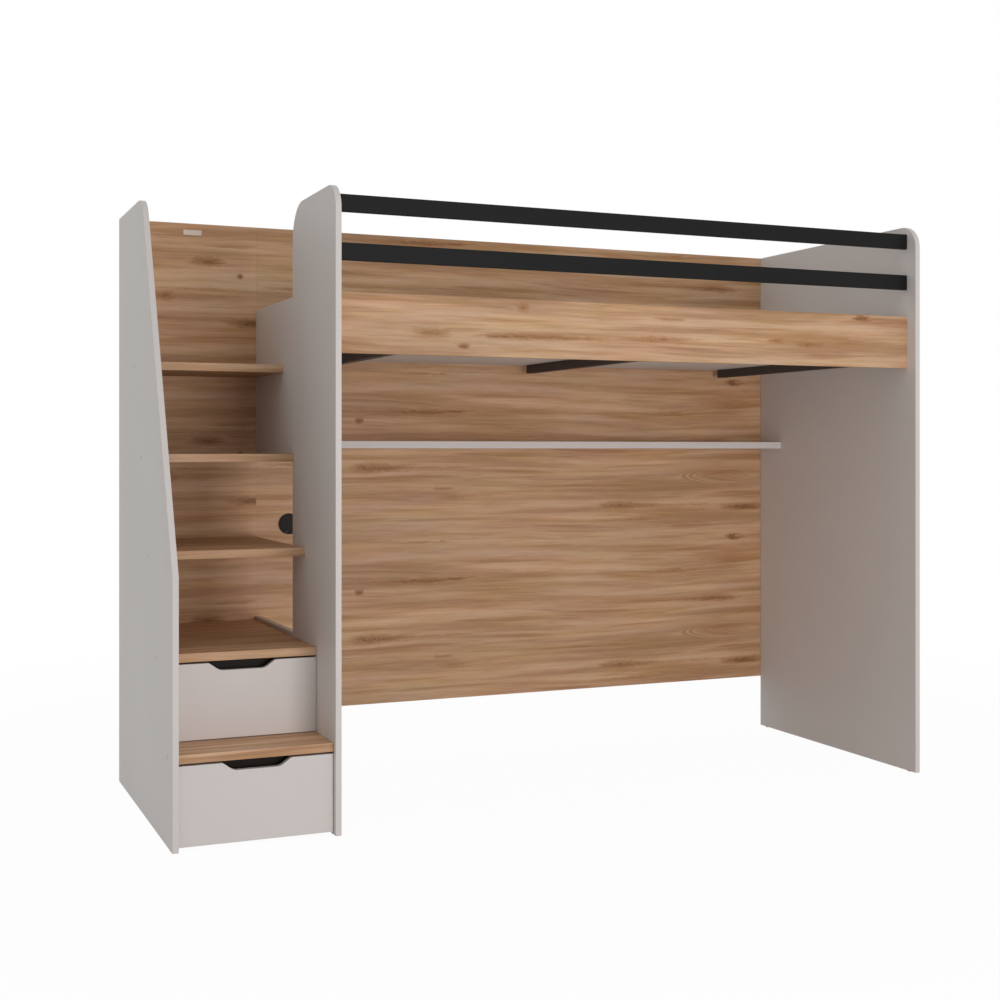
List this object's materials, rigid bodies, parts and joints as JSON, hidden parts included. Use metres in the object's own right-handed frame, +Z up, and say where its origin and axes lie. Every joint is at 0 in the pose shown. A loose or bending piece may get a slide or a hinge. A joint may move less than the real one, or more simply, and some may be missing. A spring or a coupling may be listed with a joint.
{
  "type": "loft bed with drawer staircase",
  "caption": "Loft bed of grey and oak-look boards with a drawer staircase at its left end, black steel guard rails, a back wall with a shelf, and free space for a desk below.",
  "frame": {"origin": "middle of the footprint, on the floor", "axes": "+X along the bed away from the staircase, +Y from the front to the back wall, +Z up"},
  "size_m": [2.5026, 0.9532, 1.849],
  "materials": {
    "grey_board": "matt grey melamine on chipboard",
    "oak_board": "oak-look melamine on chipboard",
    "white_board": "matt white melamine on chipboard",
    "zinc_steel": "zinc plated",
    "black_steel": "black powder coat",
    "black_plastic": "fine grained black",
    "satin_plate": "satin"
  },
  "bodies": {
    "frame": {"badge_plate": "satin_plate", "base_batten": "white_board", "base_board_left": "grey_board", "base_board_right": "grey_board", "bed_back_panel": "oak_board", "bed_beam_left": "black_steel", "bed_beam_middle": "black_steel", "bed_beam_right": "black_steel", "front_rail": "oak_board", "glide_left_back": "black_plastic", "glide_left_front": "black_plastic", "glide_middle_back": "black_plastic", "glide_middle_front": "black_plastic", "glide_right_back": "black_plastic", "glide_right_front": "black_plastic", "grommet_ring": "black_plastic", "guard_rail_lower": "black_steel", "guard_rail_upper": "black_steel", "left_side_panel": "grey_board", "lower_runner_fixed_left": "zinc_steel", "lower_runner_fixed_right": "zinc_steel", "lower_side_panel": "grey_board", "middle_panel": "grey_board", "right_side_panel": "grey_board", "stair_back_panel": "oak_board", "stair_end_board": "grey_board", "tread_1": "oak_board", "tread_1_screw": "zinc_steel", "tread_2": "oak_board", "tread_2_screw": "zinc_steel", "tread_3": "oak_board", "tread_3_screw": "zinc_steel", "tread_4": "oak_board", "tread_4_screw": "zinc_steel", "tread_5": "oak_board", "tread_5_screw": "zinc_steel", "upper_runner_fixed_left": "zinc_steel", "upper_runner_fixed_right": "zinc_steel", "wall_shelf": "grey_board"},
    "lower_drawer": {"lower_drawer_front": "grey_board", "lower_drawer_left_side": "white_board", "lower_drawer_right_side": "white_board", "lower_drawer_back": "white_board", "lower_drawer_bottom": "white_board", "lower_finger_cup": "black_plastic", "lower_runner_drawer_left": "zinc_steel", "lower_runner_drawer_right": "zinc_steel"},
    "lower_runner_slides": {"lower_runner_sliding_left": "zinc_steel", "lower_runner_sliding_right": "zinc_steel"},
    "upper_drawer": {"upper_drawer_front": "grey_board", "upper_drawer_left_side": "white_board", "upper_drawer_right_side": "white_board", "upper_drawer_back": "white_board", "upper_drawer_bottom": "white_board", "upper_finger_cup": "black_plastic", "upper_runner_drawer_left": "zinc_steel", "upper_runner_drawer_right": "zinc_steel"},
    "upper_runner_slides": {"upper_runner_sliding_left": "zinc_steel", "upper_runner_sliding_right": "zinc_steel"},
    "grommet_cap": {"grommet_cap": "black_plastic"}
  },
  "joints": [
    {"name": "lower_drawer_slide", "type": "slide", "parent": "frame", "child": "lower_drawer", "axis": [0, -1, 0], "range_m": [0, 0.45]},
    {"name": "lower_runner_slide", "type": "slide", "parent": "frame", "child": "lower_runner_slides", "axis": [0, -1, 0], "range_m": [0, 0.225]},
    {"name": "upper_drawer_slide", "type": "slide", "parent": "frame", "child": "upper_drawer", "axis": [0, -1, 0], "range_m": [0, 0.45]},
    {"name": "upper_runner_slide", "type": "slide", "parent": "frame", "child": "upper_runner_slides", "axis": [0, -1, 0], "range_m": [0, 0.225]},
    {"name": "grommet_cap_turn", "type": "hinge", "parent": "frame", "child": "grommet_cap", "pos_m": [-0.68025, 0.45865, 0.8365], "axis": [0, -1, 0], "continuous": true}
  ],
  "couplings": [
    {"joint": "lower_runner_slide", "follows": "lower_drawer_slide", "ratio": 0.5},
    {"joint": "upper_runner_slide", "follows": "upper_drawer_slide", "ratio": 0.5}
  ]
}
